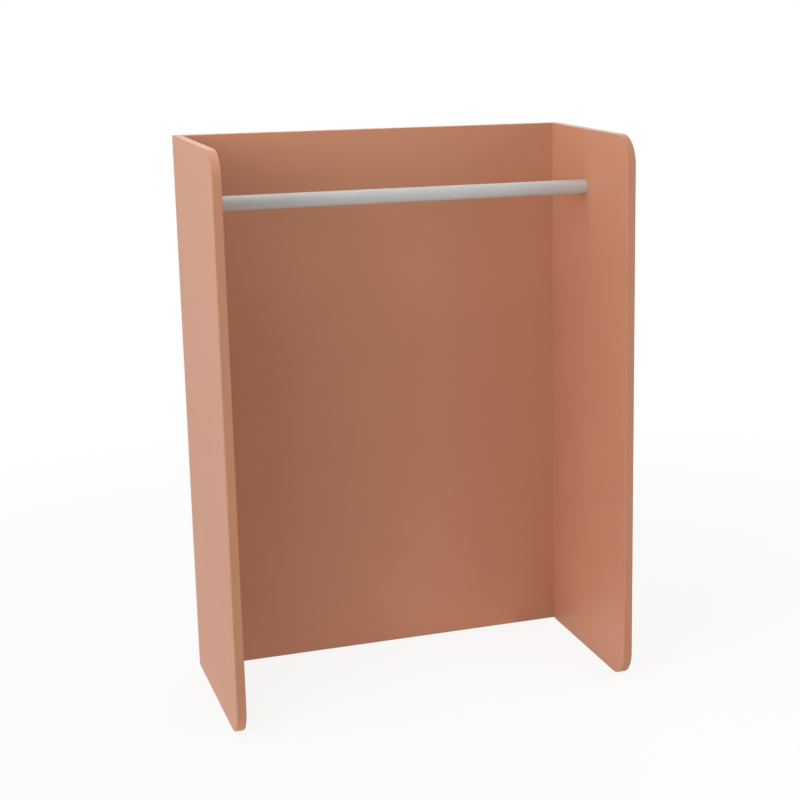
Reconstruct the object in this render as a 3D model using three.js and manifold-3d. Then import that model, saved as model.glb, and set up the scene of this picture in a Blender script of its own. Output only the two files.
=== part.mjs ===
// Open coat rack of edged board: two side panels with rounded front corners,
// a full-height back panel between them and a round rail across the top.
// Millimetres, +Z up. +X is to the right and -Y to the front.
// The origin is on the floor, in the middle of the footprint.

import * as THREE from 'three';
import { mergeVertices } from 'three/addons/utils/BufferGeometryUtils.js';
import Module from 'manifold-3d';

const wasm = await Module();
wasm.setup();

// Overall size
const rackWidth = 800;
const rackDepth = 400;
const rackHeight = 1088;

// Boards and their edging
const sideThickness = 18;
const backThickness = 18;
const edgingThickness = 2;
const arrisRadius = 2;
const frontCornerRadius = 55;
const rearCornerRadius = 3;

// Hanging rail
const railDiameter = 28;
const railWall = 1.5;
const railDrop = 114; // top edge to the rail's axis
const railSetback = 204; // front edge to the rail's axis

// Rail plugs and the screws that hold them to the side panels
const plugLength = 18;
const plugBase = 5;
const plugWall = 3;
const plugChamfer = 1.5;
const plugScrewDiameter = 4;
const plugScrewHeadDiameter = 8;
const plugScrewTip = 3;

// Cam fittings: a drum in the rear of the back panel draws in the bolt of a side panel
const camDiameter = 15;
const camBackset = 24; // side panel's face to the drum's axis
const camRecess = 0.3; // drum's face below the panel's rear face
const camBelowBolt = 4.7; // bolt's axis to the drum's far end
const camChamfer = 0.4;
const camPocketStart = 5.6; // inner radius of the hook where the bolt's head comes in
const camPocketEnd = 4.2; // inner radius of the hook at the end of its travel
const camTravel = 200; // degrees of hook
const camTurned = 165; // degrees that the drum is turned past the bolt
const camSlotWidth = 1.6;
const camSlotLength = 8;
const camSlotDepth = 2.6;

// Bolts of the cam fittings
const boltThreadDiameter = 5;
const boltCollarDiameter = 7.4;
const boltCollarLength = 1.5;
const boltShankDiameter = 6;
const boltNeckDiameter = 3.6;
const boltHeadDiameter = 5.8;
const boltHeadLength = 5;
const boltChannelDiameter = 8;

// Dowels
const dowelDiameter = 8;
const dowelInBack = 24; // length inside the back panel's edge
const dowelChamfer = 1;

// Where the fittings stand up each joint
const holePitch = 32;
const endFittingInset = 64; // top or bottom edge to the outer cam fittings

// Clearances and hole depths
const fitGap = 0.3; // between a fitting and its bore
const holeFloor = 6; // board left behind a blind hole in a side panel
const holeEndGap = 1; // between a fitting's end and the bottom of its hole
const overrun = 1; // how far a cutter stands out of what it cuts

// Facets
const frontCornerFacets = 16;
const rearCornerFacets = 3;
const arrisFacets = 3;
const railFacets = 40;
const fittingFacets = 20;
const boreFacets = 24;
const hookFacets = 30;
const weld = 1e-4;

// Derived sizes
const innerWidth = rackWidth - 2 * sideThickness;
const railHeight = rackHeight - railDrop;
const railOffset = railSetback - rackDepth / 2;
const jointOffset = (rackDepth - backThickness) / 2; // middle of the back panel's thickness
const blindDepth = sideThickness - holeFloor;
const gripDepth = blindDepth - holeEndGap; // how far fittings reach into a side panel
const camHeight = backThickness / 2 - camRecess + camBelowBolt;
const boltDepth = backThickness / 2 - camRecess; // drum's face to the bolt's axis
const lowestFitting = endFittingInset;
const middleFitting = rackHeight / 2;
const highestFitting = rackHeight - endFittingInset;

const camHeights = { bottom: lowestFitting, middle: middleFitting, top: highestFitting };
const dowelHeights = {
  bottom: lowestFitting + holePitch,
  middle: middleFitting + holePitch,
  top: highestFitting - holePitch,
};
const sides = { left: -1, right: 1 };

// Materials
const boardColour = 0xc9977b;
const edgingColour = 0xc9967a;
const railColour = 0xbcbbb9;
const zincColour = 0xa9a9a6;
const steelColour = 0xb4b2aa;
const beechColour = 0xd2ab7c;
const nylonColour = 0xe4e2dc;

function finish(color, roughness, metalness) {
  return new THREE.MeshStandardMaterial({ color, roughness, metalness });
}

const board = () => finish(boardColour, 0.55, 0);
const edging = () => finish(edgingColour, 0.5, 0);
const lacqueredTube = () => finish(railColour, 0.45, 0.2);
const zinc = () => finish(zincColour, 0.5, 0.9);
const steel = () => finish(steelColour, 0.35, 1);
const beech = () => finish(beechColour, 0.7, 0);
const nylon = () => finish(nylonColour, 0.45, 0);

// Solids

function solidOf(geometry) {
  const shell = geometry.clone();
  shell.deleteAttribute('normal');
  shell.deleteAttribute('uv');
  const merged = mergeVertices(shell, weld);
  return new wasm.Manifold(new wasm.Mesh({
    numProp: 3,
    vertProperties: new Float32Array(merged.attributes.position.array),
    triVerts: new Uint32Array(merged.index.array),
  }));
}

function geometryOf(solid) {
  const { vertProperties, triVerts } = solid.getMesh();
  const geometry = new THREE.BufferGeometry();
  geometry.setAttribute('position', new THREE.BufferAttribute(vertProperties, 3));
  geometry.setIndex(new THREE.BufferAttribute(triVerts, 1));
  const faceted = geometry.toNonIndexed();
  faceted.computeVertexNormals();
  return faceted;
}

function cut(geometry, cutters) {
  const body = cutters.reduce((solid, cutter) => solid.subtract(solidOf(cutter)), solidOf(geometry));
  return geometryOf(body);
}

function common(geometry, region) {
  return geometryOf(solidOf(geometry).intersect(solidOf(region)));
}

function named(name, geometry, material) {
  const mesh = new THREE.Mesh(geometry, material);
  mesh.name = name;
  return mesh;
}

// A flat profile pushed out equally to both sides of its own plane
function slab(shape, thickness) {
  const geometry = new THREE.ExtrudeGeometry(shape, {
    depth: thickness,
    bevelEnabled: false,
    curveSegments: hookFacets / 2,
  });
  return geometry.translate(0, 0, -thickness / 2);
}

// The same with every arris rounded, without growing past the profile
function easedSlab(shape, thickness) {
  const geometry = new THREE.ExtrudeGeometry(shape, {
    depth: thickness - 2 * arrisRadius,
    bevelThickness: arrisRadius,
    bevelSize: arrisRadius,
    bevelOffset: -arrisRadius,
    bevelSegments: arrisFacets,
  });
  return geometry.translate(0, 0, arrisRadius - thickness / 2);
}

// A cylinder along X ('x') or Z ('z'), from one place on its axis to another
function drill(axis, diameter, from, to, across, up) {
  const length = Math.abs(to - from);
  const middle = (from + to) / 2;
  const geometry = new THREE.CylinderGeometry(diameter / 2, diameter / 2, length, boreFacets);
  if (axis === 'x') {
    return geometry.rotateZ(Math.PI / 2).translate(middle, up, across);
  }
  return geometry.rotateX(Math.PI / 2).translate(across, up, middle);
}

function revolve(points, facets) {
  return new THREE.LatheGeometry(points.map(([r, along]) => new THREE.Vector2(r, along)), facets);
}

function block(sizeX, sizeY, sizeZ, x, y, z) {
  return new THREE.BoxGeometry(sizeX, sizeY, sizeZ).translate(x, y, z);
}

// Side panels. Local x runs from front to rear, y upwards, and z through the board.
// inward is +1 where the middle of the rack lies on the +z side, and -1 where it lies on the -z side.

function addCorner(shape, x, y, radius, start, facets) {
  for (let i = 0; i <= facets; i += 1) {
    const angle = start + (Math.PI / 2) * i / facets;
    shape.lineTo(x + radius * Math.cos(angle), y + radius * Math.sin(angle));
  }
}

function sideOutline(inset, rearRadius) {
  const front = inset - rackDepth / 2;
  const rear = rackDepth / 2 - inset;
  const low = inset;
  const high = rackHeight - inset;
  const radius = frontCornerRadius - inset;
  const shape = new THREE.Shape();
  shape.moveTo(front + radius, low);
  addCorner(shape, rear - rearRadius, low + rearRadius, rearRadius, -Math.PI / 2, rearCornerFacets);
  addCorner(shape, rear - rearRadius, high - rearRadius, rearRadius, 0, rearCornerFacets);
  addCorner(shape, front + radius, high - radius, radius, Math.PI / 2, frontCornerFacets);
  addCorner(shape, front + radius, low + radius, radius, Math.PI, frontCornerFacets);
  return shape;
}

function sideBlank() {
  return easedSlab(sideOutline(0, rearCornerRadius), sideThickness);
}

function sideCore(thickness) {
  return slab(sideOutline(edgingThickness, 0), thickness);
}

function rearStrip() {
  const middle = rackDepth / 2 - edgingThickness / 2 + overrun / 2;
  const reach = edgingThickness + overrun;
  return block(reach, rackHeight + 2 * overrun, sideThickness + 2 * overrun, middle, rackHeight / 2, 0);
}

function sideHole(inward, diameter, across, up) {
  const face = inward * sideThickness / 2;
  return drill('z', diameter + 2 * fitGap, face + inward * overrun, face - inward * blindDepth, across, up);
}

function sideBoard(inward) {
  const holes = [
    sideHole(inward, plugScrewDiameter, railOffset, railHeight),
    ...Object.values(camHeights).map((up) => sideHole(inward, boltThreadDiameter, jointOffset, up)),
    ...Object.values(dowelHeights).map((up) => sideHole(inward, dowelDiameter, jointOffset, up)),
  ];
  return cut(common(sideBlank(), sideCore(sideThickness)), holes);
}

function frontEdging() {
  return cut(sideBlank(), [sideCore(sideThickness + 2 * overrun), rearStrip()]);
}

function rearEdging() {
  return common(sideBlank(), rearStrip());
}

// Back panel. Local x runs to the right, y upwards, and z from the rear to the front.

function backEdgingProfile() {
  const half = backThickness / 2;
  const shape = new THREE.Shape();
  shape.moveTo(-half, 0);
  shape.lineTo(half, 0);
  shape.lineTo(half, edgingThickness - arrisRadius);
  shape.absarc(half - arrisRadius, edgingThickness - arrisRadius, arrisRadius, 0, Math.PI / 2);
  shape.lineTo(arrisRadius - half, edgingThickness);
  shape.absarc(arrisRadius - half, edgingThickness - arrisRadius, arrisRadius, Math.PI / 2, Math.PI);
  return shape;
}

function backEdging() {
  const geometry = new THREE.ExtrudeGeometry(backEdgingProfile(), {
    depth: innerWidth,
    bevelEnabled: false,
    curveSegments: arrisFacets,
  });
  return geometry.translate(0, 0, -innerWidth / 2).rotateY(Math.PI / 2);
}

function backHoles(side) {
  const edge = side * innerWidth / 2;
  const inside = (reach) => edge - side * reach;
  const mouth = edge + side * overrun;
  const camMouth = -backThickness / 2 - overrun;
  const camFloor = -backThickness / 2 + camRecess + camHeight + fitGap;
  const camBore = (up) => drill('z', camDiameter + 2 * fitGap, camMouth, camFloor, inside(camBackset), up);
  const channel = (up) => drill('x', boltChannelDiameter, mouth, inside(camBackset), 0, up);
  const dowelDepth = dowelInBack + holeEndGap;
  const dowelHole = (up) => drill('x', dowelDiameter + 2 * fitGap, mouth, inside(dowelDepth), 0, up);
  return [
    ...Object.values(camHeights).flatMap((up) => [camBore(up), channel(up)]),
    ...Object.values(dowelHeights).map(dowelHole),
  ];
}

function backBoard() {
  const boardHeight = rackHeight - 2 * edgingThickness;
  const blank = block(innerWidth, boardHeight, backThickness, 0, rackHeight / 2, 0);
  return cut(blank, Object.values(sides).flatMap(backHoles));
}

// Cam drum. Its axis is local z, with the driver's face at z = 0 and the bolt coming in from -x.

const hookStart = Math.PI - THREE.MathUtils.degToRad(camTurned);
const hookSweep = THREE.MathUtils.degToRad(camTravel);

function hookRadius(angle) {
  const turn = angle - hookStart;
  const rise = camPocketStart - camPocketEnd;
  if (turn <= hookSweep) {
    return camPocketStart - rise * turn / hookSweep;
  }
  return camPocketEnd + rise * (turn - hookSweep) / (2 * Math.PI - hookSweep);
}

function camPocket() {
  const points = [];
  for (let i = 0; i < hookFacets; i += 1) {
    const angle = hookStart + 2 * Math.PI * i / hookFacets;
    const r = hookRadius(angle);
    points.push(new THREE.Vector2(r * Math.cos(angle), r * Math.sin(angle)));
  }
  return slab(new THREE.Shape(points), boltHeadDiameter + 2 * fitGap).translate(0, 0, -boltDepth);
}

function camNeckSlot() {
  const outer = camDiameter / 2 + overrun;
  const inner = camPocketEnd - overrun;
  const shape = new THREE.Shape();
  shape.absarc(0, 0, outer, hookStart, hookStart + hookSweep, false);
  shape.absarc(0, 0, inner, hookStart + hookSweep, hookStart, true);
  return slab(shape, boltNeckDiameter + 2 * fitGap).translate(0, 0, -boltDepth);
}

function camEntry() {
  const span = boltHeadDiameter + 2 * fitGap;
  const reach = camDiameter / 2 + overrun;
  return block(reach, span, span, reach / 2, 0, 0).rotateZ(hookStart).translate(0, 0, -boltDepth);
}

function driverCross(length, width, slotDepth) {
  const reach = slotDepth + overrun;
  const middle = (overrun - slotDepth) / 2;
  return [block(length, width, reach, 0, 0, middle), block(width, length, reach, 0, 0, middle)];
}

function camDrum() {
  const radius = camDiameter / 2;
  const body = revolve([
    [0, -camHeight],
    [radius - camChamfer, -camHeight],
    [radius, camChamfer - camHeight],
    [radius, -camChamfer],
    [radius - camChamfer, 0],
    [0, 0],
  ], fittingFacets).rotateX(Math.PI / 2);
  return cut(body, [
    camPocket(),
    camNeckSlot(),
    camEntry(),
    ...driverCross(camSlotLength, camSlotWidth, camSlotDepth),
  ]);
}

// Turned fittings of a side panel. Their axis is local y, with y = 0 in the panel's inner face.

function camBolt() {
  const thread = boltThreadDiameter / 2;
  const collar = boltCollarDiameter / 2;
  const shank = boltShankDiameter / 2;
  const neck = boltNeckDiameter / 2;
  const head = boltHeadDiameter / 2;
  const shoulder = camBackset - hookRadius(Math.PI) + fitGap;
  const neckStart = camBackset - camDiameter / 2 - fitGap;
  return revolve([
    [0, -gripDepth],
    [thread - neck / 2, -gripDepth],
    [thread, neck / 2 - gripDepth],
    [thread, 0],
    [collar, 0],
    [collar, boltCollarLength],
    [shank, boltCollarLength],
    [shank, neckStart],
    [neck, neckStart],
    [neck, shoulder],
    [head, shoulder + head / 2],
    [head, shoulder + boltHeadLength - head / 2],
    [head / 2, shoulder + boltHeadLength],
    [0, shoulder + boltHeadLength],
  ], fittingFacets);
}

function dowel() {
  const radius = dowelDiameter / 2;
  return revolve([
    [0, -gripDepth],
    [radius - dowelChamfer, -gripDepth],
    [radius, dowelChamfer - gripDepth],
    [radius, dowelInBack - dowelChamfer],
    [radius - dowelChamfer, dowelInBack],
    [0, dowelInBack],
  ], fittingFacets);
}

function railPlug() {
  const outer = railDiameter / 2 - railWall - fitGap;
  const hole = plugScrewDiameter / 2 + fitGap;
  const sink = plugScrewHeadDiameter / 2 + fitGap;
  return revolve([
    [hole, 0],
    [outer, 0],
    [outer, plugLength - plugChamfer],
    [outer - plugChamfer, plugLength],
    [outer - plugWall, plugLength],
    [outer - plugWall, plugBase],
    [sink, plugBase],
    [hole, plugBase + hole - sink],
    [hole, 0],
  ], railFacets);
}

function plugScrew() {
  const shank = plugScrewDiameter / 2;
  const head = plugScrewHeadDiameter / 2;
  const body = revolve([
    [0, -gripDepth],
    [shank, plugScrewTip - gripDepth],
    [shank, plugBase + shank - head],
    [head, plugBase],
    [0, plugBase],
  ], fittingFacets);
  const recess = driverCross(plugScrewDiameter, plugScrewDiameter / 4, shank);
  return cut(body, recess.map((arm) => arm.rotateX(-Math.PI / 2).translate(0, plugBase, 0)));
}

// Rail. Its axis is local y.

function railTube() {
  const outer = railDiameter / 2;
  const inner = outer - railWall;
  const half = innerWidth / 2 - fitGap;
  return revolve([[inner, -half], [outer, -half], [outer, half], [inner, half], [inner, -half]], railFacets);
}

// Assembly

function standOff(mesh, inward, across, up) {
  mesh.position.set(across, up, inward * sideThickness / 2);
  mesh.rotation.x = inward * Math.PI / 2;
  return mesh;
}

function sideAssembly(sideName) {
  const inward = -sides[sideName];
  const group = new THREE.Group();
  group.position.x = sides[sideName] * (rackWidth - sideThickness) / 2;
  group.rotation.set(Math.PI / 2, 0, Math.PI / 2, 'ZYX');
  group.add(
    named(`side_panel_${sideName}`, sideBoard(inward), board()),
    named(`front_edging_${sideName}`, frontEdging(), edging()),
    named(`rear_edging_${sideName}`, rearEdging(), edging()),
    standOff(named(`rail_plug_${sideName}`, railPlug(), nylon()), inward, railOffset, railHeight),
    standOff(named(`rail_plug_screw_${sideName}`, plugScrew(), steel()), inward, railOffset, railHeight),
  );
  for (const [place, up] of Object.entries(camHeights)) {
    const bolt = named(`cam_bolt_${sideName}_${place}`, camBolt(), steel());
    group.add(standOff(bolt, inward, jointOffset, up));
  }
  for (const [place, up] of Object.entries(dowelHeights)) {
    const pin = named(`dowel_${sideName}_${place}`, dowel(), beech());
    group.add(standOff(pin, inward, jointOffset, up));
  }
  return group;
}

function camAt(sideName, place, up) {
  const drum = named(`cam_${sideName}_${place}`, camDrum(), zinc());
  drum.position.set(sides[sideName] * (innerWidth / 2 - camBackset), up, camRecess - backThickness / 2);
  drum.rotation.set(Math.PI, 0, sideName === 'left' ? 0 : Math.PI);
  return drum;
}

function backAssembly() {
  const group = new THREE.Group();
  group.position.y = jointOffset;
  group.rotation.x = Math.PI / 2;
  const top = named('back_edging_top', backEdging(), edging());
  top.position.y = rackHeight - edgingThickness;
  const bottom = named('back_edging_bottom', backEdging(), edging());
  bottom.position.y = edgingThickness;
  bottom.rotation.x = Math.PI;
  group.add(named('back_panel', backBoard(), board()), top, bottom);
  for (const sideName of Object.keys(sides)) {
    for (const [place, up] of Object.entries(camHeights)) {
      group.add(camAt(sideName, place, up));
    }
  }
  return group;
}

function railAssembly() {
  const rail = named('hanging_rail', railTube(), lacqueredTube());
  rail.position.set(0, railOffset, railHeight);
  rail.rotation.z = Math.PI / 2;
  return rail;
}

const coatRack = new THREE.Group();
coatRack.add(sideAssembly('left'), sideAssembly('right'), backAssembly(), railAssembly());

export default coatRack;
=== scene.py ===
import math
import bpy
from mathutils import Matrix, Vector


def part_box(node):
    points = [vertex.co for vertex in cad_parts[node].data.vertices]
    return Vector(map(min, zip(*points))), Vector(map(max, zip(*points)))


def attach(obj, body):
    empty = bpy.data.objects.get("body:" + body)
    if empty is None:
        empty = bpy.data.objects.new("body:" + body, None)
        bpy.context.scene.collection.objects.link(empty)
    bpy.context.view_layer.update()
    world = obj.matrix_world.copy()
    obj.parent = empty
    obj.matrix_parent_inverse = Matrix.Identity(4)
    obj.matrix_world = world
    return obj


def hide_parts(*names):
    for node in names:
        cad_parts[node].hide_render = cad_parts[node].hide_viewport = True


# Open coat rack in terracotta board. Metres, +Z up, the open front faces -Y.

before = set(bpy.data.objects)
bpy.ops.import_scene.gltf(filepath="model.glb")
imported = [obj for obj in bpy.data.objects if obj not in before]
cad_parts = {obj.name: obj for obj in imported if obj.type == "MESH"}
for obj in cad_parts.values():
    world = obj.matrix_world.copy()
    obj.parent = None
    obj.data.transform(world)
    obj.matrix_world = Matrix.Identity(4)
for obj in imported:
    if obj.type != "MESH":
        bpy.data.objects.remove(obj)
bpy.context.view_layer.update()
inward = {"left": 1, "right": -1}  # which way along X the middle of the rack lies
places = ("bottom", "middle", "top")
tiny = 1e-5  # m, two places this close are the same one
mergeWithin = 1e-6  # m, points this close are merged
stickOut = 0.001  # m, how far a cutter stands out of the face that it cuts
skin = 0.0002  # m, what lies deeper than this is cut board and no longer its face
facing = 0.99  # least part of a normal along an axis when the face looks that way
crossing = 0.1  # and the most when the face looks across it
smoothBelow = 30  # degrees, an edge that turns less than this is shaded smooth
print("frame loaded:", len(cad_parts), "pieces")


# places of the pieces

def middleOf(node):
    low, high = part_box(node)
    return (low + high) / 2


def innerFace(hand):  # where a side board faces the bay, along X
    low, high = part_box(f"side_panel_{hand}")
    return high.x if hand == "left" else low.x


# modelling

def deselectAll():
    bpy.ops.object.select_all(action="DESELECT")


def makeActive(piece):
    deselectAll()
    piece.select_set(True)
    bpy.context.view_layer.objects.active = piece


def applyPlace(piece):
    makeActive(piece)
    bpy.ops.object.transform_apply(location=True, rotation=True, scale=True)


def applyModifier(piece, kind, **settings):
    makeActive(piece)
    modifier = piece.modifiers.new(kind.title(), kind)
    for name, value in settings.items():
        setattr(modifier, name, value)
    bpy.ops.object.modifier_apply(modifier=modifier.name)


def pick(piece, kind, test):  # stays in edit mode, with what passes the test selected
    makeActive(piece)
    bpy.ops.object.mode_set(mode="EDIT")
    bpy.ops.mesh.select_mode(type=kind)
    bpy.ops.mesh.select_all(action="DESELECT")
    bpy.ops.object.mode_set(mode="OBJECT")
    mesh = piece.data
    if kind == "VERT":
        for vertex in mesh.vertices:
            vertex.select = test(vertex.co)
    elif kind == "EDGE":
        for edge in mesh.edges:
            edge.select = test(*[mesh.vertices[i].co for i in edge.vertices])
    else:
        for face in mesh.polygons:
            face.select = test(face)
    bpy.ops.object.mode_set(mode="EDIT")


def pickAll(piece):
    pick(piece, "FACE", lambda face: True)


def leaveEdit():
    bpy.ops.object.mode_set(mode="OBJECT")


def bevelEdges(piece, test, width, segments):
    pick(piece, "EDGE", test)
    bpy.ops.mesh.bevel(offset=width, segments=segments, affect="EDGES", clamp_overlap=False)
    leaveEdit()


def addBlock(name, low, high):
    low = Vector(low)
    high = Vector(high)
    deselectAll()
    bpy.ops.mesh.primitive_cube_add(size=1, location=(low + high) / 2, scale=high - low)
    block = bpy.context.object
    block.name = name
    applyPlace(block)
    return block


def addRod(name, start, end, radius, vertices, fill="NGON"):
    start = Vector(start)
    end = Vector(end)
    turn = (end - start).to_track_quat("Z", "Y").to_euler()
    deselectAll()
    bpy.ops.mesh.primitive_cylinder_add(
        vertices=vertices, radius=radius, depth=(end - start).length,
        end_fill_type=fill, location=(start + end) / 2, rotation=turn)
    rod = bpy.context.object
    rod.name = name
    applyPlace(rod)
    return rod


def turnOnX(name, points, facets):  # lathe: points of the outline are (along X, out from it)
    deselectAll()
    bpy.ops.mesh.primitive_plane_add(size=0.001)  # of any size, it shrinks to the outline's first point
    piece = bpy.context.object
    piece.name = name
    bpy.ops.object.mode_set(mode="EDIT")
    bpy.ops.mesh.select_mode(type="VERT")
    bpy.ops.mesh.merge(type="CENTER")
    bpy.ops.transform.translate(value=(points[0][0], 0, points[0][1]))
    for here, there in zip(points, points[1:]):
        step = (there[0] - here[0], 0, there[1] - here[1])
        bpy.ops.mesh.extrude_region_move(TRANSFORM_OT_translate={"value": step})
    bpy.ops.mesh.select_all(action="SELECT")
    bpy.ops.mesh.spin(steps=facets, angle=2 * math.pi, center=(0, 0, 0), axis=(1, 0, 0))
    bpy.ops.mesh.select_all(action="SELECT")
    bpy.ops.mesh.remove_doubles(threshold=mergeWithin)
    bpy.ops.mesh.normals_make_consistent(inside=False)
    leaveEdit()
    return piece


threadForm = {
    "root": 0.94,  # where the ridge starts, as a share of the core's radius
    "width": 0.36,  # share of the pitch
    "steps": 24,  # in each turn
}


def addThread(piece, thread):  # winds a ridge round a piece that is turned on X, and makes them one
    root = thread["core"] * threadForm["root"]
    height = thread["crest"] - root
    deselectAll()
    bpy.ops.mesh.primitive_circle_add(
        vertices=3, radius=1, location=(thread["start"], 0, root + height / 3),
        rotation=(math.pi / 2, 0, 0))
    ridge = bpy.context.object
    ridge.scale = (thread["pitch"] * threadForm["width"], height / 1.5, 1)  # made 1.5 high
    applyPlace(ridge)
    applyModifier(ridge, "SCREW", axis="X", screw_offset=thread["pitch"], iterations=thread["turns"],
                  steps=threadForm["steps"], render_steps=threadForm["steps"])
    pick(ridge, "VERT", lambda place: abs(place.y) < tiny and place.z > 0 and not (
        thread["start"] + thread["pitch"] / 2 < place.x
        < thread["start"] + (thread["turns"] - 0.5) * thread["pitch"]))
    bpy.ops.transform.translate(value=(0, 0, -height))  # both ends run out into the core
    bpy.ops.mesh.select_all(action="SELECT")
    bpy.ops.mesh.fill_holes(sides=0)
    bpy.ops.mesh.select_all(action="SELECT")
    bpy.ops.mesh.normals_make_consistent(inside=False)
    leaveEdit()
    applyModifier(piece, "BOOLEAN", operation="UNION", solver="EXACT", object=ridge)
    bpy.data.objects.remove(ridge)


def copyOf(piece, name):
    double = piece.copy()
    double.data = piece.data.copy()
    double.name = name
    bpy.context.scene.collection.objects.link(double)
    return double


def cutWith(piece, cutters):
    for cutter in cutters:
        applyModifier(piece, "BOOLEAN", operation="DIFFERENCE", solver="EXACT", object=cutter)
        bpy.data.objects.remove(cutter)


def smooth(piece):
    makeActive(piece)
    bpy.ops.object.shade_smooth_by_angle(angle=math.radians(smoothBelow))
    applyModifier(piece, "WEIGHTED_NORMAL", keep_sharp=True, weight=80)


def paint(piece, index, test):  # gives the faces that pass the test one of the piece's materials
    pick(piece, "FACE", test)
    piece.active_material_index = index
    bpy.ops.object.material_slot_assign()
    leaveEdit()


def putOn(piece, node):
    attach(piece, "root")
    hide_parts(node)


# materials

def linear(hexColour):  # sRGB hex to the linear values that the shader wants
    channels = [int(hexColour[i:i + 2], 16) / 255 for i in (1, 3, 5)]
    return [c / 12.92 if c <= 0.04045 else ((c + 0.055) / 1.055) ** 2.4 for c in channels] + [1]


def newMaterial(name):
    material = bpy.data.materials.new(name)
    material.use_nodes = True
    material.node_tree.nodes.clear()
    return material, material.node_tree


def addNode(tree, kind, inputs=None, **settings):
    node = tree.nodes.new(kind)
    for name, value in settings.items():
        setattr(node, name, value)
    for name, value in (inputs or {}).items():
        if isinstance(value, bpy.types.NodeSocket):
            tree.links.new(value, node.inputs[name])
        else:
            node.inputs[name].default_value = value
    return node


def perMetre(millimetres):  # a pattern's scale from its real size
    return 1000 / millimetres


noiseLow, noiseHigh = 0.3, 0.7  # nearly all values of a noise lie between these


melamine = {
    "deep": "#bc8366", "pale": "#c2896a",
    "roughness": (0.44, 0.52),
    "ior": 1.37,
    "clouding": 160,  # mm, uneven print of the decor paper
    "print": 1.8,  # mm, fine dots of the print
    "printSpread": 0.45,  # their share of the step in colour
    "pearl": 2.6,  # mm, grain of the press plate; really about 1 mm, drawn coarser so that it shows
    "pearlDepth": 0.00012,
}


def melamineFacedBoard():
    # decor paper pressed on chipboard: one even colour, a fine pearl grain and a soft satin sheen
    material, tree = newMaterial("melamineFacedBoard")
    place = addNode(tree, "ShaderNodeTexCoord").outputs["Object"]
    cloud = addNode(tree, "ShaderNodeTexNoise", {
        "Vector": place, "Scale": perMetre(melamine["clouding"]), "Detail": 3})
    pearl = addNode(tree, "ShaderNodeTexNoise", {
        "Vector": place, "Scale": perMetre(melamine["pearl"]), "Detail": 2, "Roughness": 0.6})
    dots = addNode(tree, "ShaderNodeTexNoise", {
        "Vector": place, "Scale": perMetre(melamine["print"]), "Detail": 1})
    spread = addNode(tree, "ShaderNodeMapRange", {
        "Value": dots.outputs["Fac"], "From Min": noiseLow, "From Max": noiseHigh,
        "To Min": -melamine["printSpread"], "To Max": melamine["printSpread"]})
    shade = addNode(tree, "ShaderNodeMath", {
        0: cloud.outputs["Fac"], 1: spread.outputs["Result"]}, operation="ADD")
    tone = addNode(tree, "ShaderNodeMix", {
        "Factor": shade.outputs["Value"], "A": linear(melamine["deep"]), "B": linear(melamine["pale"])},
        data_type="RGBA")
    low, high = melamine["roughness"]
    gloss = addNode(tree, "ShaderNodeMapRange", {
        "Value": pearl.outputs["Fac"], "From Min": noiseLow, "From Max": noiseHigh,
        "To Min": low, "To Max": high})
    bump = addNode(tree, "ShaderNodeBump", {
        "Height": pearl.outputs["Fac"], "Strength": 1, "Distance": melamine["pearlDepth"]})
    shader = addNode(tree, "ShaderNodeBsdfPrincipled", {
        "Base Color": tone.outputs["Result"], "Roughness": gloss.outputs["Result"],
        "IOR": melamine["ior"], "Normal": bump.outputs["Normal"]})
    addNode(tree, "ShaderNodeOutputMaterial", {"Surface": shader.outputs["BSDF"]})
    return material


chipCore = {
    "dark": "#a87c4e", "light": "#d9bd8e", "roughness": 0.85,
    "chips": 2.4,  # mm
    "chipDepth": 0.0003,
}


def chipboard():
    # three-layer chipboard where it is cut: pressed chips of many tones, open and dull
    material, tree = newMaterial("chipboardCore")
    place = addNode(tree, "ShaderNodeTexCoord").outputs["Object"]
    chips = addNode(tree, "ShaderNodeTexVoronoi", {
        "Vector": place, "Scale": perMetre(chipCore["chips"])})
    tint = addNode(tree, "ShaderNodeSeparateColor", {"Color": chips.outputs["Color"]})
    tone = addNode(tree, "ShaderNodeMix", {
        "Factor": tint.outputs["Red"], "A": linear(chipCore["dark"]), "B": linear(chipCore["light"])},
        data_type="RGBA")
    bump = addNode(tree, "ShaderNodeBump", {
        "Height": chips.outputs["Distance"], "Strength": 0.7, "Distance": chipCore["chipDepth"]})
    shader = addNode(tree, "ShaderNodeBsdfPrincipled", {
        "Base Color": tone.outputs["Result"], "Roughness": chipCore["roughness"],
        "Normal": bump.outputs["Normal"]})
    addNode(tree, "ShaderNodeOutputMaterial", {"Surface": shader.outputs["BSDF"]})
    return material


edging = {
    # deep and pale are a little darker than the board's tone: painted shade on the edging
    "deep": "#b88063", "pale": "#bd8667", "roughness": (0.45, 0.54), "ior": 1.38,
    "clouding": 90,  # mm
    "grain": 2.0,  # mm, embossed to match the board; really about 1 mm, drawn coarser so that it shows
    "grainDepth": 0.00006,
}


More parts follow.
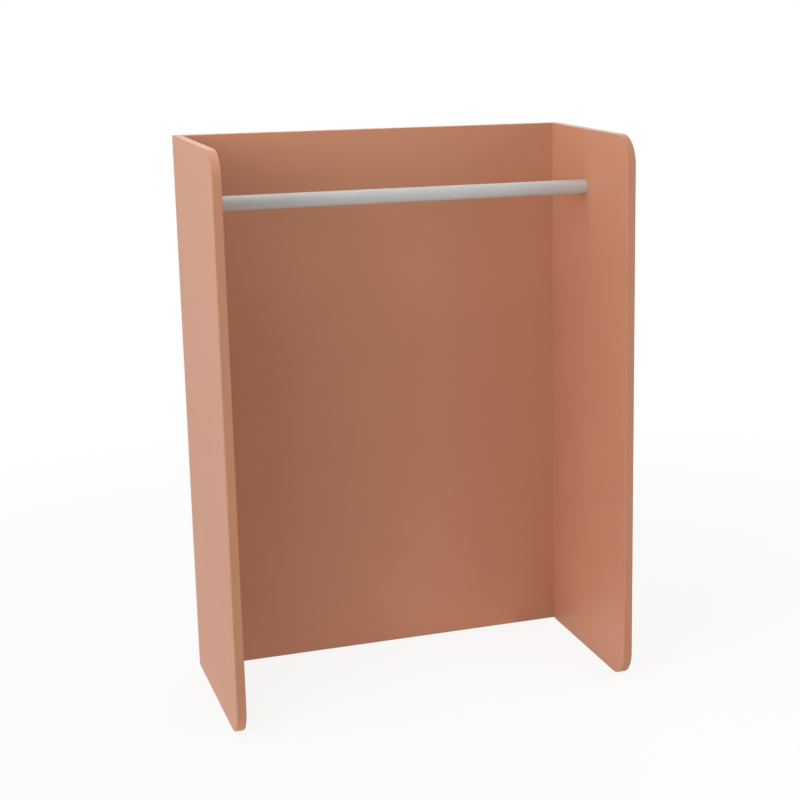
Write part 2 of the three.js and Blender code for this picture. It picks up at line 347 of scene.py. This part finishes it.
def absEdgingWithPaintedShade():
    # extruded ABS, embossed on its face and scraped smooth at the arrises; its tone is a little darker
    # than the board's as painted shade on the edges, though the real edging has the board's colour
    material, tree = newMaterial("absEdgingWithPaintedShade")
    place = addNode(tree, "ShaderNodeTexCoord").outputs["Object"]
    cloud = addNode(tree, "ShaderNodeTexNoise", {
        "Vector": place, "Scale": perMetre(edging["clouding"]), "Detail": 2})
    grain = addNode(tree, "ShaderNodeTexNoise", {
        "Vector": place, "Scale": perMetre(edging["grain"]), "Detail": 2})
    tone = addNode(tree, "ShaderNodeMix", {
        "Factor": cloud.outputs["Fac"], "A": linear(edging["deep"]), "B": linear(edging["pale"])},
        data_type="RGBA")
    low, high = edging["roughness"]
    gloss = addNode(tree, "ShaderNodeMapRange", {
        "Value": grain.outputs["Fac"], "From Min": noiseLow, "From Max": noiseHigh,
        "To Min": low, "To Max": high})
    bump = addNode(tree, "ShaderNodeBump", {
        "Height": grain.outputs["Fac"], "Strength": 1, "Distance": edging["grainDepth"]})
    shader = addNode(tree, "ShaderNodeBsdfPrincipled", {
        "Base Color": tone.outputs["Result"], "Roughness": gloss.outputs["Result"],
        "IOR": edging["ior"], "Normal": bump.outputs["Normal"]})
    addNode(tree, "ShaderNodeOutputMaterial", {"Surface": shader.outputs["BSDF"]})
    return material


castZinc = {
    "dark": "#8d8e8f", "light": "#b9b9b7", "roughness": (0.36, 0.58),
    "flow": 5,  # mm, marks that the metal leaves as it fills the mould
    "flowDepth": 0.00008,
}


def dieCastZinc():
    # pressure-cast zinc alloy, as cast: grey, matt, with cloudy flow marks from the mould
    material, tree = newMaterial("dieCastZinc")
    place = addNode(tree, "ShaderNodeTexCoord").outputs["Object"]
    flow = addNode(tree, "ShaderNodeTexNoise", {
        "Vector": place, "Scale": perMetre(castZinc["flow"]), "Detail": 4, "Distortion": 1.2})
    tone = addNode(tree, "ShaderNodeMix", {
        "Factor": flow.outputs["Fac"], "A": linear(castZinc["dark"]), "B": linear(castZinc["light"])},
        data_type="RGBA")
    low, high = castZinc["roughness"]
    gloss = addNode(tree, "ShaderNodeMapRange", {
        "Value": flow.outputs["Fac"], "To Min": low, "To Max": high})
    bump = addNode(tree, "ShaderNodeBump", {
        "Height": flow.outputs["Fac"], "Strength": 0.6, "Distance": castZinc["flowDepth"]})
    shader = addNode(tree, "ShaderNodeBsdfPrincipled", {
        "Base Color": tone.outputs["Result"], "Metallic": 1, "Roughness": gloss.outputs["Result"],
        "Normal": bump.outputs["Normal"]})
    addNode(tree, "ShaderNodeOutputMaterial", {"Surface": shader.outputs["BSDF"]})
    return material


plating = {
    "dark": "#c0c2c3", "light": "#c9cbcb", "roughness": (0.24, 0.31),
    "spangle": 0.5,  # mm
}


def zincPlatedSteel():
    # turned and rolled steel under bright zinc: clear reflections, faint spangle, a cool tint
    material, tree = newMaterial("zincPlatedSteel")
    place = addNode(tree, "ShaderNodeTexCoord").outputs["Object"]
    spangle = addNode(tree, "ShaderNodeTexVoronoi", {
        "Vector": place, "Scale": perMetre(plating["spangle"])})
    tint = addNode(tree, "ShaderNodeSeparateColor", {"Color": spangle.outputs["Color"]})
    tone = addNode(tree, "ShaderNodeMix", {
        "Factor": tint.outputs["Green"], "A": linear(plating["dark"]), "B": linear(plating["light"])},
        data_type="RGBA")
    low, high = plating["roughness"]
    gloss = addNode(tree, "ShaderNodeMapRange", {
        "Value": tint.outputs["Blue"], "To Min": low, "To Max": high})
    shader = addNode(tree, "ShaderNodeBsdfPrincipled", {
        "Base Color": tone.outputs["Result"], "Metallic": 1, "Roughness": gloss.outputs["Result"]})
    addNode(tree, "ShaderNodeOutputMaterial", {"Surface": shader.outputs["BSDF"]})
    return material


beechGrain = {
    "deep": "#c59f79", "pale": "#dcbf9c", "fleck": "#a67c5a", "roughness": 0.62,
    "grain": 1.5, "flecks": 0.9,  # mm across the grain
    "along": 0.08,  # their scale along the dowel, as a share of that across it
    "fleckReach": (0.1, 0.35),  # from its middle, where a fleck starts to fade and where it ends
    "fleckShare": 0.55,  # how much of its own colour a fleck has in its middle
    "poreDepth": 0.0001,
}


def beech():
    # turned beech: pale pinkish tan, straight grain along the dowel and short dark ray flecks
    material, tree = newMaterial("beechDowel")
    place = addNode(tree, "ShaderNodeTexCoord").outputs["Object"]
    along = addNode(tree, "ShaderNodeMapping", {"Vector": place, "Scale": (beechGrain["along"], 1, 1)})
    grain = addNode(tree, "ShaderNodeTexNoise", {
        "Vector": along.outputs["Vector"], "Scale": perMetre(beechGrain["grain"]), "Detail": 4})
    flecks = addNode(tree, "ShaderNodeTexVoronoi", {
        "Vector": along.outputs["Vector"], "Scale": perMetre(beechGrain["flecks"])})
    fading, ended = beechGrain["fleckReach"]
    spots = addNode(tree, "ShaderNodeMapRange", {
        "Value": flecks.outputs["Distance"], "From Min": fading, "From Max": ended,
        "To Min": beechGrain["fleckShare"], "To Max": 0})
    tone = addNode(tree, "ShaderNodeMix", {
        "Factor": grain.outputs["Fac"],
        "A": linear(beechGrain["deep"]), "B": linear(beechGrain["pale"])}, data_type="RGBA")
    marked = addNode(tree, "ShaderNodeMix", {
        "Factor": spots.outputs["Result"],
        "A": tone.outputs["Result"], "B": linear(beechGrain["fleck"])}, data_type="RGBA")
    bump = addNode(tree, "ShaderNodeBump", {
        "Height": grain.outputs["Fac"], "Strength": 0.5, "Distance": beechGrain["poreDepth"]})
    shader = addNode(tree, "ShaderNodeBsdfPrincipled", {
        "Base Color": marked.outputs["Result"], "Roughness": beechGrain["roughness"],
        "Normal": bump.outputs["Normal"]})
    addNode(tree, "ShaderNodeOutputMaterial", {"Surface": shader.outputs["BSDF"]})
    return material


nylonSkin = {
    "deep": "#dcdad2", "pale": "#e9e8e2", "roughness": 0.42, "ior": 1.53,
    "grain": 0.6,  # mm
    "grainDepth": 0.00003,
}


def mouldedNylon():
    # injection-moulded natural nylon: milky white, with a fine spark-eroded grain
    material, tree = newMaterial("mouldedNylon")
    place = addNode(tree, "ShaderNodeTexCoord").outputs["Object"]
    grain = addNode(tree, "ShaderNodeTexNoise", {
        "Vector": place, "Scale": perMetre(nylonSkin["grain"]), "Detail": 2})
    tone = addNode(tree, "ShaderNodeMix", {
        "Factor": grain.outputs["Fac"], "A": linear(nylonSkin["deep"]), "B": linear(nylonSkin["pale"])},
        data_type="RGBA")
    bump = addNode(tree, "ShaderNodeBump", {
        "Height": grain.outputs["Fac"], "Strength": 0.5, "Distance": nylonSkin["grainDepth"]})
    shader = addNode(tree, "ShaderNodeBsdfPrincipled", {
        "Base Color": tone.outputs["Result"], "Roughness": nylonSkin["roughness"],
        "IOR": nylonSkin["ior"], "Normal": bump.outputs["Normal"]})
    addNode(tree, "ShaderNodeOutputMaterial", {"Surface": shader.outputs["BSDF"]})
    return material


boardFace = melamineFacedBoard()
boardCore = chipboard()
edgeBandWithPaintedShade = absEdgingWithPaintedShade()
dieCast = dieCastZinc()
plated = zincPlatedSteel()
beechWood = beech()
nylonPlug = mouldedNylon()
print("materials made")

# side boards and their edging

side = {
    "frontRadius": 0.055, "rearRadius": 0.003, "frontSegments": 24, "rearSegments": 5,
    "arrisSegments": 5,
    "edging": 0.002,
    "land": 0.00006,  # flat left beside the rounded arris
    "joint": 0.00012,  # hair line where the face meets the edging
    "boreDepth": 0.012, "screwBore": 0.0023, "boltBore": 0.0028, "dowelBore": 0.0043, "boreFacets": 28,
}


def alongX(height, place):  # an edge that runs through the board at one corner of its outline
    return lambda a, b: all(abs(p.z - height) < tiny and abs(p.y - place) < tiny for p in (a, b))


def sideBlank(name, low, high, frontRadius, rearRadius):
    blank = addBlock(name, low, high)
    for height in (low[2], high[2]):
        bevelEdges(blank, alongX(height, low[1]), frontRadius, side["frontSegments"])
        if rearRadius:
            bevelEdges(blank, alongX(height, high[1]), rearRadius, side["rearSegments"])
    return blank


def arrisOf(low, high):  # the long way round both faces
    return lambda a, b: any(abs(a.x - x) < tiny and abs(b.x - x) < tiny for x in (low[0], high[0]))


def boreInto(hand, radius, node):  # the hole in a side board's inner face for what a node holds
    face = innerFace(hand)
    spot = middleOf(node)
    mouth = inward[hand] * stickOut
    depth = inward[hand] * side["boreDepth"]
    return addRod("bore", (face + mouth, spot.y, spot.z), (face - depth, spot.y, spot.z),
                  radius, side["boreFacets"])


def makeSideBoard(hand):
    node = f"side_panel_{hand}"
    low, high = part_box(node)
    board = sideBlank(f"board_{hand}", low, high, side["frontRadius"] - side["edging"], 0)
    bevelEdges(board, arrisOf(low, high), side["joint"], 1)
    bores = []
    for kind, radius in (("cam_bolt", side["boltBore"]), ("dowel", side["dowelBore"])):
        for place in places:
            bores.append(boreInto(hand, radius, f"{kind}_{hand}_{place}"))
    bores.append(boreInto(hand, side["screwBore"], f"rail_plug_screw_{hand}"))
    cutWith(board, bores)
    smooth(board)
    board.data.materials.append(boardFace)
    board.data.materials.append(boardCore)
    paint(board, 1, lambda part: min(abs(part.center.x - low.x), abs(part.center.x - high.x)) > skin)
    putOn(board, node)


def makeSideEdging(hand):
    low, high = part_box(f"side_panel_{hand}")
    thickness = side["edging"]
    low = low - Vector((0, thickness, thickness))
    high = high + Vector((0, thickness, thickness))
    front = sideBlank(f"edging_front_{hand}", low, high, side["frontRadius"], side["rearRadius"])
    bevelEdges(front, arrisOf(low, high), thickness - side["land"], side["arrisSegments"])
    rear = copyOf(front, f"edging_rear_{hand}")
    cut = high.y - thickness
    pickAll(rear)
    bpy.ops.mesh.bisect(plane_co=(0, cut, 0), plane_no=(0, 1, 0), use_fill=True, clear_inner=True,
                        threshold=mergeWithin)
    leaveEdit()
    pickAll(front)  # opened behind, then hollowed where the board comes
    bpy.ops.mesh.bisect(plane_co=(0, cut, 0), plane_no=(0, 1, 0), clear_outer=True,
                        threshold=mergeWithin)
    leaveEdit()
    pick(front, "FACE", lambda face: abs(face.normal.x) > facing)
    bpy.ops.mesh.inset(thickness=side["land"], use_boundary=False)
    bpy.ops.mesh.bridge_edge_loops()
    leaveEdit()
    pick(front, "FACE", lambda face: abs(face.center.y - cut) < tiny)
    bpy.ops.mesh.delete(type="FACE")
    leaveEdit()
    pickAll(front)
    bpy.ops.mesh.fill_holes(sides=0)
    bpy.ops.mesh.select_all(action="SELECT")
    bpy.ops.mesh.normals_make_consistent(inside=False)
    leaveEdit()
    for piece, node in ((front, f"front_edging_{hand}"), (rear, f"rear_edging_{hand}")):
        smooth(piece)
        piece.data.materials.append(edgeBandWithPaintedShade)
        putOn(piece, node)


for hand in inward:
    makeSideBoard(hand)
    makeSideEdging(hand)
print("side boards and their edging made")

# back panel

back = {
    "camBore": 0.0078, "camDepth": 0.014,
    "channel": 0.004, "dowelBore": 0.0043, "dowelDepth": 0.025,
    "facets": 48, "land": 0.00006,
}


def makeBackPanel():
    low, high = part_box("back_panel")
    panel = addBlock("back_board", low, high)
    bevelEdges(panel, lambda a, b: abs(a.z - b.z) < tiny and abs(a.y - b.y) < tiny, side["joint"], 1)
    cutters = []
    for hand, way in inward.items():
        edge = low.x if hand == "left" else high.x
        mouth = edge - way * stickOut
        for place in places:
            seat = middleOf(f"cam_{hand}_{place}")
            inside = middleOf(f"cam_bolt_{hand}_{place}").y
            cutters.append(addRod("bore", (seat.x, high.y + stickOut, seat.z),
                                  (seat.x, high.y - back["camDepth"], seat.z),
                                  back["camBore"], back["facets"]))
            cutters.append(addRod("channel", (mouth, inside, seat.z), (seat.x, inside, seat.z),
                                  back["channel"], side["boreFacets"]))
            height = middleOf(f"dowel_{hand}_{place}").z
            cutters.append(addRod("bore", (mouth, inside, height),
                                  (edge + way * back["dowelDepth"], inside, height),
                                  back["dowelBore"], side["boreFacets"]))
    cutWith(panel, cutters)
    smooth(panel)
    panel.data.materials.append(boardFace)
    panel.data.materials.append(boardCore)
    paint(panel, 1, lambda part: min(abs(part.center.y - low.y), abs(part.center.y - high.y)) > skin)
    putOn(panel, "back_panel")


def makeBackEdging(end):
    node = f"back_edging_{end}"
    low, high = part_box(node)
    strip = addBlock(f"edging_back_{end}", low, high)
    outer = high.z if end == "top" else low.z
    bevelEdges(
        strip, lambda a, b: abs(a.y - b.y) < tiny and all(abs(p.z - outer) < tiny for p in (a, b)),
        side["edging"] - back["land"], side["arrisSegments"])
    smooth(strip)
    strip.data.materials.append(edgeBandWithPaintedShade)
    putOn(strip, node)


makeBackPanel()
for end in ("top", "bottom"):
    makeBackEdging(end)
print("back panel made")

# hanging rail

rail = {
    "facets": 96, "wall": 0.0015, "deburr": 0.0005, "deburrSegments": 3,
    "deep": "#b5b5b3", "pale": "#bcbcba", "roughness": (0.38, 0.46),
    "peel": 2.2, "film": 60,  # mm, waves of the orange peel and of the film's thickness
    "peelDepth": 0.00008,
}


def powderCoatedTube():
    # light grey powder coat baked on steel tube: satin, with a faint orange peel and an uneven film
    material, tree = newMaterial("powderCoatedSteelTube")
    place = addNode(tree, "ShaderNodeTexCoord").outputs["Object"]
    peel = addNode(tree, "ShaderNodeTexNoise", {
        "Vector": place, "Scale": perMetre(rail["peel"]), "Detail": 1})
    film = addNode(tree, "ShaderNodeTexNoise", {
        "Vector": place, "Scale": perMetre(rail["film"]), "Detail": 3})
    tone = addNode(tree, "ShaderNodeMix", {
        "Factor": film.outputs["Fac"], "A": linear(rail["deep"]), "B": linear(rail["pale"])},
        data_type="RGBA")
    low, high = rail["roughness"]
    gloss = addNode(tree, "ShaderNodeMapRange", {
        "Value": film.outputs["Fac"], "From Min": noiseLow, "From Max": noiseHigh,
        "To Min": low, "To Max": high})
    bump = addNode(tree, "ShaderNodeBump", {
        "Height": peel.outputs["Fac"], "Strength": 1, "Distance": rail["peelDepth"]})
    shader = addNode(tree, "ShaderNodeBsdfPrincipled", {
        "Base Color": tone.outputs["Result"], "Roughness": gloss.outputs["Result"],
        "Normal": bump.outputs["Normal"]})
    addNode(tree, "ShaderNodeOutputMaterial", {"Surface": shader.outputs["BSDF"]})
    return material


def makeRail():
    low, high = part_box("hanging_rail")
    middle = (low + high) / 2
    radius = (high.z - low.z) / 2
    tube = addRod("rail_tube", (low.x, middle.y, middle.z), (high.x, middle.y, middle.z),
                  radius, rail["facets"], fill="NOTHING")
    applyModifier(tube, "SOLIDIFY", thickness=rail["wall"], offset=-1, use_even_offset=True)
    bevelEdges(tube, lambda a, b: abs(a.x - b.x) < tiny and all(
        math.hypot(p.y - middle.y, p.z - middle.z) > radius - tiny for p in (a, b)),
        rail["deburr"], rail["deburrSegments"])
    smooth(tube)
    tube.data.materials.append(powderCoatedTube())
    putOn(tube, "hanging_rail")


makeRail()
print("rail made")

# cam fittings, dowels and what carries the rail

cam = {
    "radius": 0.0075, "height": 0.0134, "facets": 64, "rim": 0.0004, "rimSegments": 2,
    "boltDepth": 0.0087,  # the driver's face to the bolt's axis
    "opening": 15, "travel": 200,  # degrees
    "pocket": 0.0049, "pocketOff": 0.0007, "pocketWidth": 0.0064,  # eccentric, so that turning draws in
    "pocketFacets": 48, "entryFacets": 28,
    "neckIn": 0.0032, "neckOut": 0.0085, "neckWidth": 0.0042, "neckSteps": 40,
    "cross": 0.004, "crossWidth": 0.0016, "crossDepth": 0.0026,
    "arrow": 0.0013, "arrowAt": 0.0056, "arrowDepth": 0.00045,
}


recessTaper = 0.62  # a driver's recess narrows to this much at its floor


def crossCutters(reach, width, depth, face):  # driver's recess in a face that looks along +Y
    arms = []
    for armX, armZ in ((reach, width / 2), (width / 2, reach)):
        arm = addBlock("arm", (-armX, face - depth, -armZ), (armX, face + depth, armZ))
        pick(arm, "FACE", lambda part: part.normal.y < -facing)
        bpy.ops.transform.resize(
            value=(recessTaper, 1, recessTaper), center_override=(0, face - depth, 0))
        leaveEdit()
        arms.append(arm)
    return arms


def makeDrum():  # its axis is on Y and its driver's face is at y = 0
    turned = math.radians(cam["opening"])
    way = Vector((math.cos(turned), 0, -math.sin(turned)))
    axis = Vector((0, -cam["boltDepth"], 0))
    half = Vector((0, cam["pocketWidth"] / 2, 0))
    middle = axis + way * cam["pocketOff"]
    drum = addRod("drum", (0, -cam["height"], 0), (0, 0, 0), cam["radius"], cam["facets"])
    bevelEdges(drum, lambda a, b: abs(a.y - b.y) < tiny, cam["rim"], cam["rimSegments"])
    deselectAll()
    across = (cam["neckIn"] + cam["neckOut"]) / 2
    bpy.ops.mesh.primitive_plane_add(size=1, location=axis + Vector((across, 0, 0)))
    neck = bpy.context.object
    neck.scale = (cam["neckOut"] - cam["neckIn"], cam["neckWidth"], 1)
    applyPlace(neck)
    neck.rotation_euler = (0, turned, 0)
    applyPlace(neck)
    pickAll(neck)
    bpy.ops.mesh.spin(steps=cam["neckSteps"], angle=math.radians(cam["travel"]),
                      center=(0, 0, 0), axis=(0, 1, 0))
    bpy.ops.mesh.select_all(action="SELECT")
    bpy.ops.mesh.remove_doubles(threshold=mergeWithin)
    bpy.ops.mesh.normals_make_consistent(inside=False)
    leaveEdit()
    deselectAll()
    bpy.ops.mesh.primitive_cylinder_add(
        vertices=3, radius=cam["arrow"], depth=2 * cam["arrowDepth"], location=way * cam["arrowAt"],
        rotation=(math.pi / 2, turned - math.pi / 2, 0))
    arrow = bpy.context.object
    applyPlace(arrow)
    cutters = [
        addRod("pocket", middle - half, middle + half, cam["pocket"], cam["pocketFacets"]),
        addRod("entry", axis, axis + way * cam["neckOut"], cam["pocketWidth"] / 2, cam["entryFacets"]),
        neck, arrow,
    ]
    cutWith(drum, cutters + crossCutters(cam["cross"], cam["crossWidth"], cam["crossDepth"], 0))
    smooth(drum)
    return drum


bolt = {
    "grip": 0.011, "tip": 0.0016, "core": 0.0021, "facets": 32,
    "thread": {"start": -0.0092, "turns": 4, "pitch": 0.0018, "core": 0.0021, "crest": 0.00275},
    "collar": 0.0037, "collarLength": 0.0015, "shank": 0.003, "neckStart": 0.0162, "neck": 0.0018,
    "shoulder": 0.01986, "head": 0.0029, "headLength": 0.005,
    "collarChamfer": 0.0003, "neckChamfer": 0.0004,
}


def makeBolt():  # runs along +X into the drum; x = 0 is the side board's inner face
    head = bolt["head"]
    start = bolt["shoulder"]
    end = start + bolt["headLength"]
    collar = bolt["collar"]
    collarEnd = bolt["collarLength"]
    bevel = bolt["collarChamfer"]
    neckBevel = bolt["neckChamfer"]
    piece = turnOnX("bolt", [
        (-bolt["grip"], 0), (-bolt["grip"], bolt["core"] / 2),
        (bolt["tip"] - bolt["grip"], bolt["core"]), (0, bolt["core"]), (0, collar - bevel),
        (bevel, collar), (collarEnd - bevel, collar), (collarEnd, collar - bevel),
        (collarEnd, bolt["shank"]),
        (bolt["neckStart"] - neckBevel, bolt["shank"]), (bolt["neckStart"], bolt["shank"] - neckBevel),
        (bolt["neckStart"], bolt["neck"]), (start, bolt["neck"]),
        # the head is rounded at both ends
        (start + head * 0.2, head * 0.8), (start + head * 0.5, head),
        (end - head * 0.5, head), (end - head * 0.2, head * 0.85), (end, head * 0.5), (end, 0),
    ], bolt["facets"])
    addThread(piece, bolt["thread"])
    smooth(piece)
    return piece


dowel = {
    "radius": 0.004, "start": -0.011, "end": 0.024, "chamfer": 0.001, "facets": 48,
    "fluteEvery": 3,  # facets
    "fluteInset": 0.00006, "fluteDepth": 0.0003,
}


def makeDowel():
    pin = addRod("dowel", (dowel["start"], 0, 0), (dowel["end"], 0, 0),
                 dowel["radius"], dowel["facets"])
    bevelEdges(pin, lambda a, b: abs(a.x - b.x) < tiny, dowel["chamfer"], 1)
    step = 2 * math.pi / dowel["facets"]
    pick(pin, "FACE", lambda face: abs(face.normal.x) < crossing and round(
        math.atan2(face.center.z, face.center.y) / step - 0.5) % dowel["fluteEvery"] == 0)
    bpy.ops.mesh.inset(thickness=dowel["fluteInset"], depth=-dowel["fluteDepth"], use_individual=True)
    leaveEdit()
    smooth(pin)
    return pin


plug = {
    "outer": 0.0122, "length": 0.018, "base": 0.005, "wall": 0.003, "hole": 0.0023, "sink": 0.0043,
    "chamfer": 0.0015, "baseChamfer": 0.0005, "lip": 0.0004, "facets": 96,
    "ribs": 8, "ribHeight": 0.0002, "ribInset": 0.0002,
    "longFace": 1e-5,  # m2, only the outer wall's facets are larger
}


def makePlug():  # with crush ribs along its outer wall
    outer = plug["outer"]
    length = plug["length"]
    inner = outer - plug["wall"]
    rise = plug["sink"] - plug["hole"]
    piece = turnOnX("plug", [
        (0, plug["hole"]), (0, outer - plug["baseChamfer"]), (plug["baseChamfer"], outer),
        (length - plug["chamfer"], outer), (length, outer - plug["chamfer"]),
        (length, inner + plug["lip"]), (length - plug["lip"], inner), (plug["base"], inner),
        (plug["base"], plug["sink"]), (plug["base"] - rise, plug["hole"]), (0, plug["hole"]),
    ], plug["facets"])
    step = 2 * math.pi / plug["facets"]
    every = plug["facets"] // plug["ribs"]
    pick(piece, "FACE", lambda face: Vector(face.center).yz.length > (inner + outer) / 2
         and face.area > plug["longFace"]
         and round(math.atan2(face.center.z, face.center.y) / step - 0.5) % every == 0)
    bpy.ops.mesh.inset(thickness=plug["ribInset"], depth=plug["ribHeight"], use_individual=True)
    leaveEdit()
    smooth(piece)
    return piece


screw = {
    "core": 0.0014, "shank": 0.002, "head": 0.004, "tip": 0.003, "grip": 0.011, "top": 0.005,
    "coreEnd": 0.0012, "shankStart": 0.0016, "rim": 0.0003, "facets": 32,
    "thread": {"start": -0.0085, "turns": 5, "pitch": 0.0018, "core": 0.0014, "crest": 0.0021},
    "recess": 0.0021, "recessWidth": 0.001, "recessDepth": 0.002,
}


def makeScrew():
    top = screw["top"]
    head = screw["head"]
    piece = turnOnX("screw", [
        (-screw["grip"], 0), (screw["tip"] - screw["grip"], screw["core"]),
        (screw["coreEnd"], screw["core"]), (screw["shankStart"], screw["shank"]),
        (top - head + screw["shank"], screw["shank"]), (top - screw["rim"], head), (top, head),
        (top, 0),
    ], screw["facets"])
    addThread(piece, screw["thread"])
    arms = crossCutters(screw["recess"], screw["recessWidth"], screw["recessDepth"], top)
    for arm in arms:
        arm.rotation_euler = (0, 0, -math.pi / 2)  # from looking along +Y to looking along +X
        applyPlace(arm)
    cutWith(piece, arms)
    smooth(piece)
    return piece


def placed(piece, name, place, turn):
    double = copyOf(piece, name)
    double.location = place
    double.rotation_euler = turn
    applyPlace(double)
    return double


def makeFittings():
    drum = makeDrum()
    stud = makeBolt()
    pin = makeDowel()
    cup = makePlug()
    fixing = makeScrew()
    finishes = ((drum, dieCast), (stud, plated), (pin, beechWood), (cup, nylonPlug), (fixing, plated))
    for piece, finish in finishes:
        piece.data.materials.append(finish)
    for hand in inward:
        face = innerFace(hand)
        flip = (0, 0, 0) if hand == "left" else (0, 0, math.pi)
        roll = (0, 0, 0) if hand == "left" else (0, math.pi, 0)
        for place in places:
            seat = middleOf(f"cam_{hand}_{place}")
            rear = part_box(f"cam_{hand}_{place}")[1].y
            piece = placed(drum, f"drum_{hand}_{place}", (seat.x, rear, seat.z), roll)
            putOn(piece, f"cam_{hand}_{place}")
            inside = middleOf(f"cam_bolt_{hand}_{place}").y
            piece = placed(stud, f"bolt_{hand}_{place}", (face, inside, seat.z), flip)
            putOn(piece, f"cam_bolt_{hand}_{place}")
            spot = middleOf(f"dowel_{hand}_{place}")
            piece = placed(pin, f"pin_{hand}_{place}", (face, spot.y, spot.z), flip)
            putOn(piece, f"dowel_{hand}_{place}")
        spot = middleOf(f"rail_plug_{hand}")
        spot.x = face
        putOn(placed(cup, f"plug_{hand}", spot, flip), f"rail_plug_{hand}")
        piece = placed(fixing, f"screw_{hand}", spot, flip)
        putOn(piece, f"rail_plug_screw_{hand}")
    for master in (drum, stud, pin, cup, fixing):
        bpy.data.objects.remove(master)


makeFittings()
print("fittings made")

# stage

studio = {
    "floorSize": 60, "floor": "#fafafa",
    "near": 0.7, "far": 2.4,  # m, where the floor's own shade starts to fade and is white
    "lift": 0.86,  # how white the floor shows at the rack; the rest is its own shade
    "ambient": 0.12,
    # direction that each far lamp shines from: degrees round from the front to the right, degrees up,
    # then its strength and how wide it looks in degrees
    "lamps": {
        "key": (-59, 9, 1.36, 40), "side": (-98, 8, 0.54, 40), "top": (0, 88, 0.83, 60),
        "rear": (142, 20, 1.1, 60),
    },
    # place of each softbox, the place that it faces, its width and depth, and its power in watts
    "softboxes": {
        "left": ((-1.6, -1.6, 1.6), (0, 0, 0.55), (1.2, 1.2), 10.3),
        "right": ((1.5, -1.5, 1.2), (0, 0, 0.55), (1, 1), 7.5),
        "overhead": ((-0.5, -0.2, 2), (0, 0, 0.55), (1, 1), 6.4),
        # what the pale floor gives back
        "bounce": ((-0.08, -0.02, 0.001), (-0.08, -0.02, 1), (0.74, 0.48), 0.38),
    },
}


# 1 for what the camera sees, straight or in gloss and glass, and 0 for light that falls on things
def seenOrMirrored(tree):
    path = addNode(tree, "ShaderNodeLightPath")
    straight = addNode(tree, "ShaderNodeMath", {
        0: path.outputs["Is Camera Ray"], 1: path.outputs["Is Glossy Ray"]}, operation="MAXIMUM")
    through = addNode(tree, "ShaderNodeMath", {
        0: straight.outputs["Value"], 1: path.outputs["Is Transmission Ray"]}, operation="MAXIMUM")
    return through.outputs["Value"]


def makeFloor():
    deselectAll()
    bpy.ops.mesh.primitive_plane_add(size=studio["floorSize"], location=(0, 0, 0))
    floor = bpy.context.object
    floor.name = "floor"
    material, tree = newMaterial("paleFloor")
    place = addNode(tree, "ShaderNodeTexCoord").outputs["Object"]
    reach = addNode(tree, "ShaderNodeVectorMath", {0: place}, operation="LENGTH")
    fade = addNode(tree, "ShaderNodeMapRange", {
        "Value": reach.outputs["Value"], "From Min": studio["near"], "From Max": studio["far"],
        "To Min": studio["lift"], "To Max": 1}, interpolation_type="SMOOTHSTEP")
    share = addNode(tree, "ShaderNodeMath", {
        0: fade.outputs["Result"], 1: seenOrMirrored(tree)}, operation="MULTIPLY")
    matte = addNode(tree, "ShaderNodeBsdfDiffuse", {"Color": linear(studio["floor"])})
    white = addNode(tree, "ShaderNodeEmission", {"Color": (1, 1, 1, 1), "Strength": 1})
    mixed = addNode(tree, "ShaderNodeMixShader", {
        0: share.outputs["Value"], 1: matte.outputs["BSDF"], 2: white.outputs["Emission"]})
    addNode(tree, "ShaderNodeOutputMaterial", {"Surface": mixed.outputs["Shader"]})
    floor.data.materials.append(material)


def addLamp(name, kind, power, turn):
    lamp = bpy.data.lights.new(name, kind)
    lamp.energy = power
    light = bpy.data.objects.new(name, lamp)
    bpy.context.scene.collection.objects.link(light)
    light.rotation_euler = turn
    return light


def makeLight():
    world = bpy.data.worlds.new("studio")
    bpy.context.scene.world = world
    world.use_nodes = True
    tree = world.node_tree
    tree.nodes.clear()
    strength = addNode(tree, "ShaderNodeMapRange", {
        "Value": seenOrMirrored(tree), "To Min": studio["ambient"], "To Max": 1})
    sky = addNode(tree, "ShaderNodeBackground", {
        "Color": (1, 1, 1, 1), "Strength": strength.outputs["Result"]})
    addNode(tree, "ShaderNodeOutputWorld", {"Surface": sky.outputs["Background"]})
    for name, (turn, rise, power, width) in studio["lamps"].items():
        light = addLamp(name, "SUN", power, (math.radians(90 - rise), 0, math.radians(turn)))
        light.data.angle = math.radians(width)
    for name, (place, aim, size, power) in studio["softboxes"].items():
        way = Vector(aim) - Vector(place)
        light = addLamp(name, "AREA", power, way.to_track_quat("-Z", "Y").to_euler())
        light.location = place
        light.data.shape = "RECTANGLE"
        light.data.size, light.data.size_y = size
        light.visible_camera = False
        light.visible_glossy = False


view = {
    "place": (-0.926, -3.1131, 1.3412), "turn": (77.0049, 0.3976, -20.5965),  # degrees
    "sensor": 36, "lens": 76.076, "shift": (-0.15, -0.015), "farthest": 200,
}


def makeCamera():
    data = bpy.data.cameras.new("camera")
    data.sensor_width = view["sensor"]
    data.lens = view["lens"]
    data.shift_x, data.shift_y = view["shift"]
    data.clip_end = view["farthest"]
    camera = bpy.data.objects.new("camera", data)
    bpy.context.scene.collection.objects.link(camera)
    camera.location = view["place"]
    camera.rotation_euler = [math.radians(angle) for angle in view["turn"]]
    bpy.context.scene.camera = camera


makeFloor()
makeLight()
makeCamera()
bpy.context.scene.view_settings.view_transform = "Standard"
print("stage, light and camera set")
